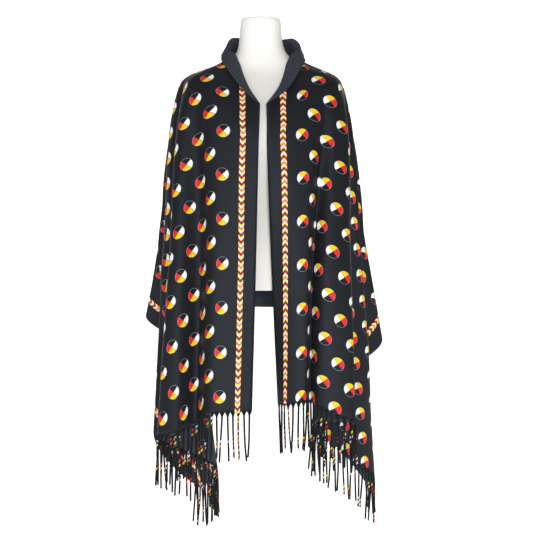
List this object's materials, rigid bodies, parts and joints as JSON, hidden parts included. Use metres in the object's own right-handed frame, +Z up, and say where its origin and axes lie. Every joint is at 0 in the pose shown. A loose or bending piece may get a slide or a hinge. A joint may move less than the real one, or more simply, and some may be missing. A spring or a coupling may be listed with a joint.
{
  "type": "shawl on a dress form",
  "caption": "Long fringed shawl with a turned-out collar, worn open in knife folds on a headless dress form that is held at its flat underside.",
  "frame": {"origin": "centre of the dress form's flat underside, where a stand holds it", "axes": "+Z up through the neck, -Y to the front where the shawl opens, +X to the wearer's left"},
  "size_m": [0.5852, 0.3245, 1.2553],
  "materials": {
    "form": "matt off-white woven cover",
    "cloth": "soft charcoal with a printed pattern of quartered discs and chevron stripes",
    "fringe": "twisted charcoal strands with printed colours"
  },
  "bodies": {
    "root": {"dress_form": "form", "shawl_cloth": "cloth", "fringe_left": "fringe", "fringe_right": "fringe"}
  },
  "joints": []
}
